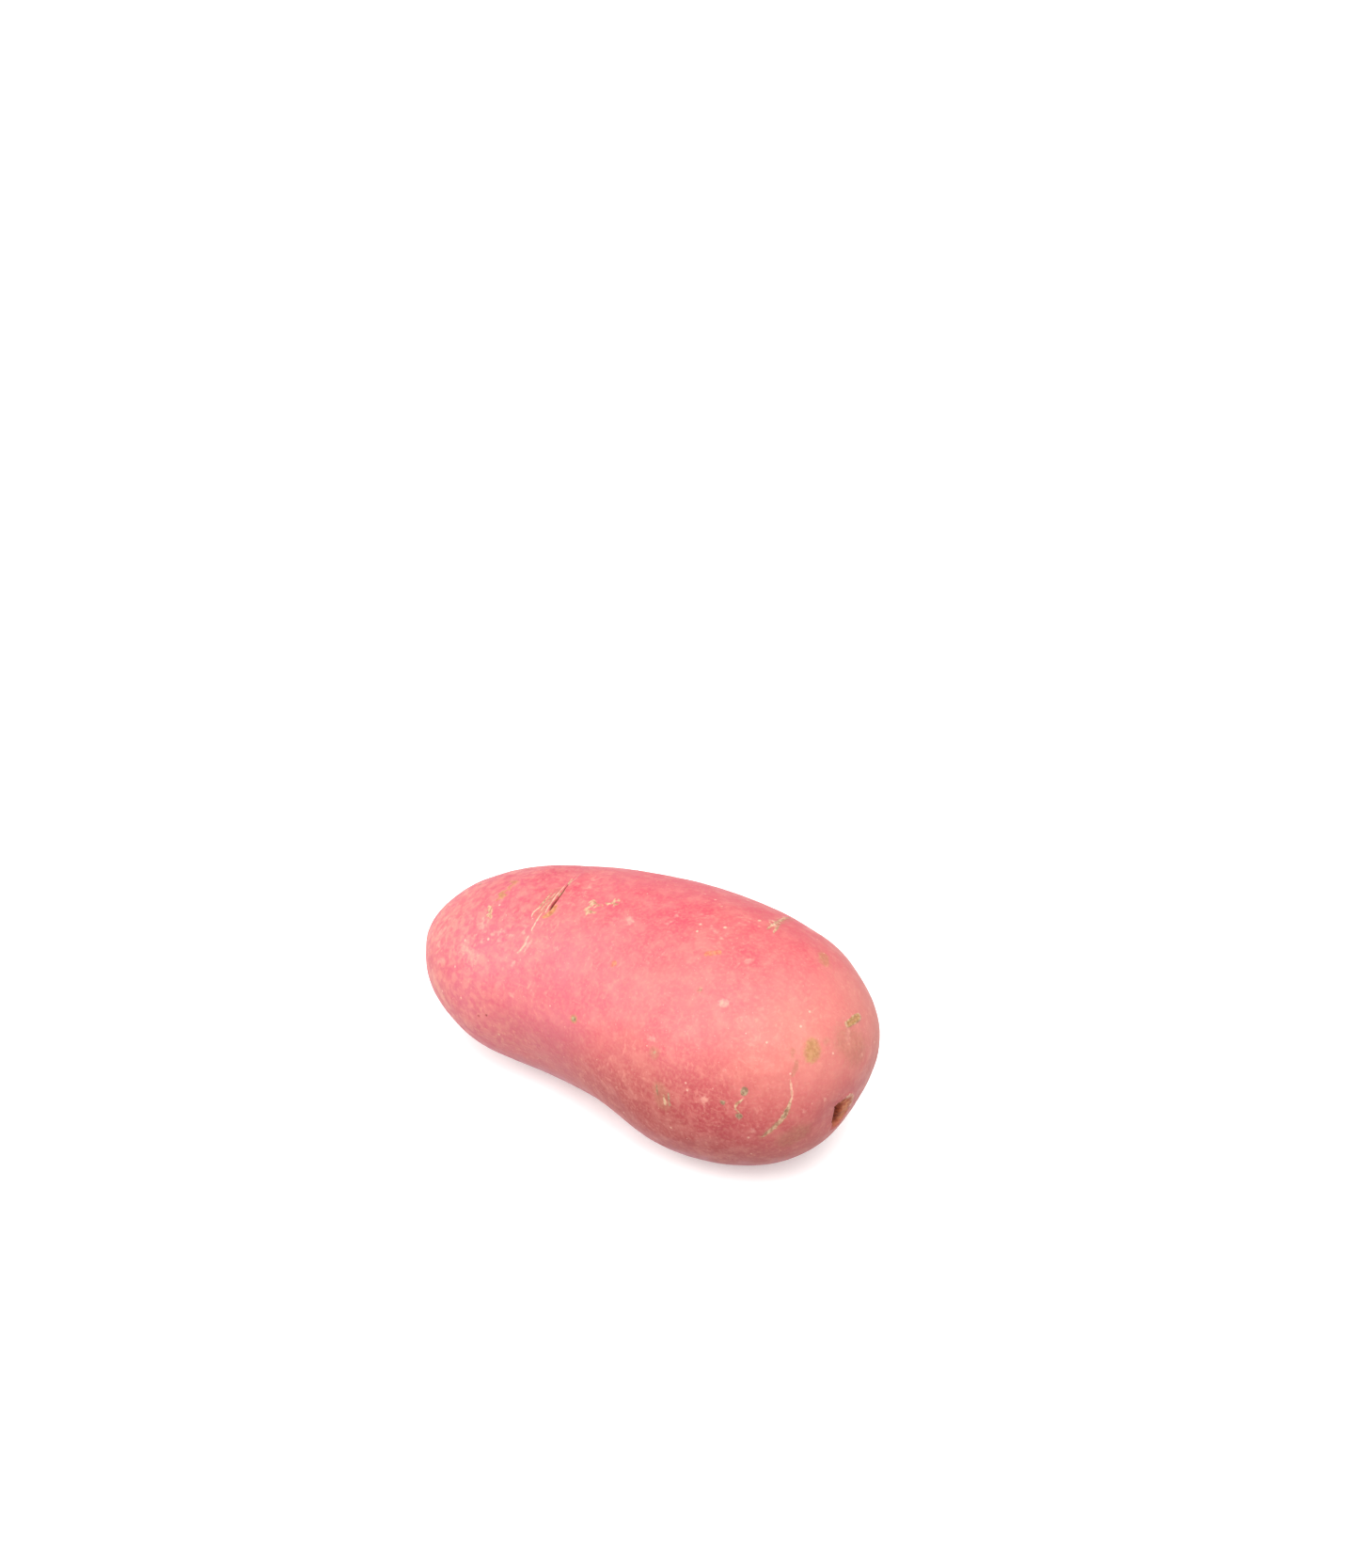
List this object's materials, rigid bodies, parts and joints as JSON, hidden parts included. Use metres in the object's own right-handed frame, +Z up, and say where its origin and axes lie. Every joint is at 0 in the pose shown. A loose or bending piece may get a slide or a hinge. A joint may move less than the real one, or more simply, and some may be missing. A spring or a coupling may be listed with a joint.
{
  "type": "potato",
  "caption": "Oblong red-skinned potato tuber with shallow eyes and a stolon scar, lying on a small flat spot of its belly.",
  "frame": {"origin": "middle of the tuber's box in plan, at the level of the surface that it lies on", "axes": "+X along the tuber towards the broad heel end with the stolon scar, +Z up, -Y on the hollow side of its slight bend"},
  "size_m": [0.1086, 0.0564, 0.0515],
  "materials": {
    "red_potato_skin": "satin"
  },
  "bodies": {
    "root": {"potato_tuber": "red_potato_skin"}
  },
  "joints": []
}
